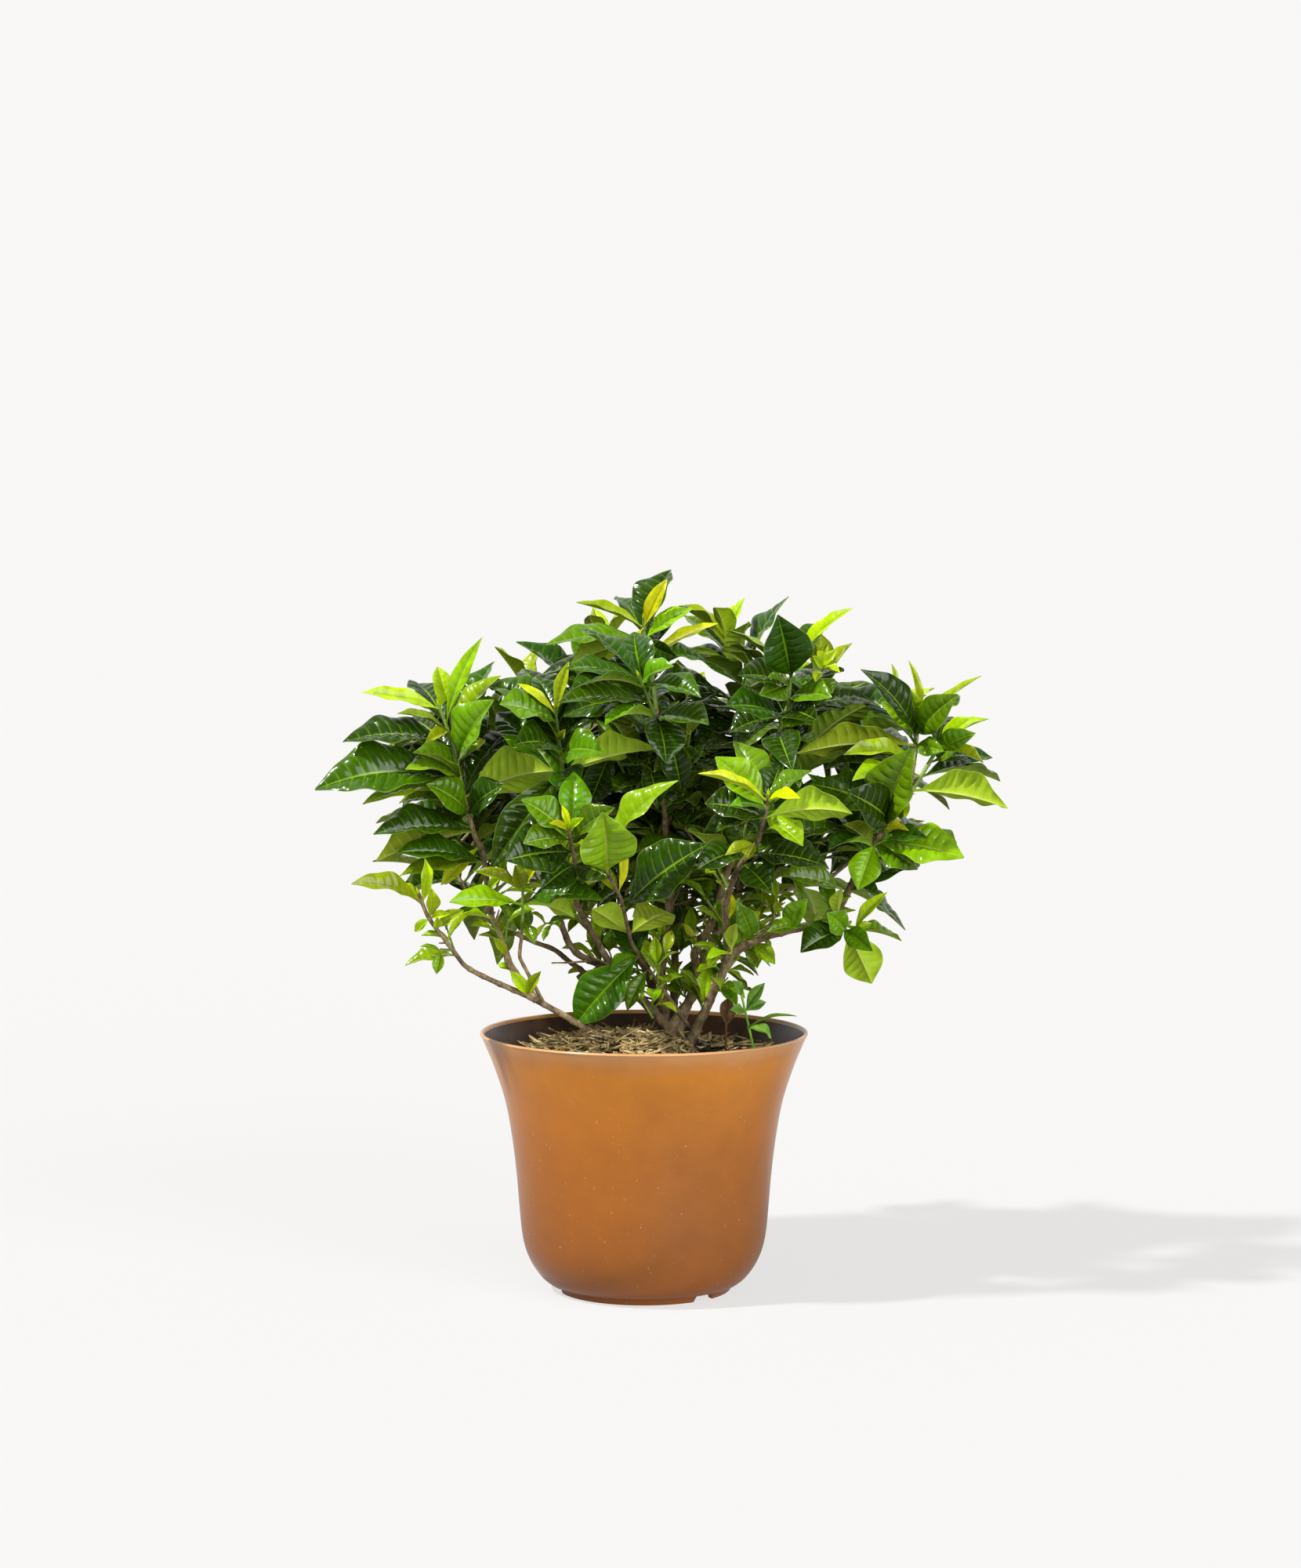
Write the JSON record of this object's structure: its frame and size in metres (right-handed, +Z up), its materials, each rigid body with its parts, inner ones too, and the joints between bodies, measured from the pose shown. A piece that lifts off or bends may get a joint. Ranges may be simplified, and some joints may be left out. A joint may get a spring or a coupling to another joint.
{
  "type": "potted gardenia",
  "caption": "Leafy gardenia bush, out of flower, with woody stems and glossy whorled leaves, in a bell-shaped brown plastic nursery pot of mulched compost.",
  "frame": {"origin": "middle of the pot's foot, on the plane that it stands on", "axes": "+Z up, +X to the viewer's right and -Y towards the viewer, facing the side of the bush that the picture shows"},
  "size_m": [0.52, 0.4037, 0.5539],
  "materials": {
    "pot": "satin injection-moulded plastic, terracotta brown",
    "soil": "moist potting compost",
    "mulch": "dry shredded bark",
    "bark": "grey-brown woody bark",
    "leaf": "glossy waxy leaf",
    "young_leaf": "soft glossy young leaf",
    "weed": "soft matte seedling leaf",
    "dead_leaf": "dry curled leaf"
  },
  "bodies": {
    "root": {"dead_leaf": "dead_leaf", "leaves_back_left": "leaf", "leaves_back_left_high": "leaf", "leaves_back_left_low": "leaf", "leaves_back_left_side": "leaf", "leaves_back_middle": "leaf", "leaves_back_middle_left": "leaf", "leaves_back_middle_right": "leaf", "leaves_back_right": "leaf", "leaves_back_right_high": "leaf", "leaves_back_right_low": "leaf", "leaves_back_right_side": "leaf", "leaves_centre": "leaf", "leaves_centre_right": "leaf", "leaves_crown_left": "leaf", "leaves_crown_lime": "leaf", "leaves_crown_right": "leaf", "leaves_left": "leaf", "leaves_left_back": "leaf", "leaves_left_small": "leaf", "leaves_low_centre": "leaf", "leaves_low_left": "young_leaf", "leaves_right": "leaf", "leaves_right_low": "leaf", "leaves_right_top": "leaf", "leaves_rosette": "young_leaf", "leaves_top": "leaf", "mulch": "mulch", "pot": "pot", "soil": "soil", "weed": "weed", "wood_back_left": "bark", "wood_back_middle": "bark", "wood_back_right": "bark", "wood_centre": "bark", "wood_centre_right": "bark", "wood_crown_right": "bark", "wood_left_back": "bark", "wood_low_centre": "bark", "wood_low_left": "bark", "wood_top": "bark", "young_centre": "young_leaf", "young_centre_right": "young_leaf", "young_crown_lime": "young_leaf", "young_crown_right": "young_leaf", "young_left": "young_leaf", "young_left_small": "young_leaf", "young_right": "young_leaf", "young_right_low": "young_leaf", "young_right_top": "young_leaf", "young_top": "young_leaf"}
  },
  "joints": []
}
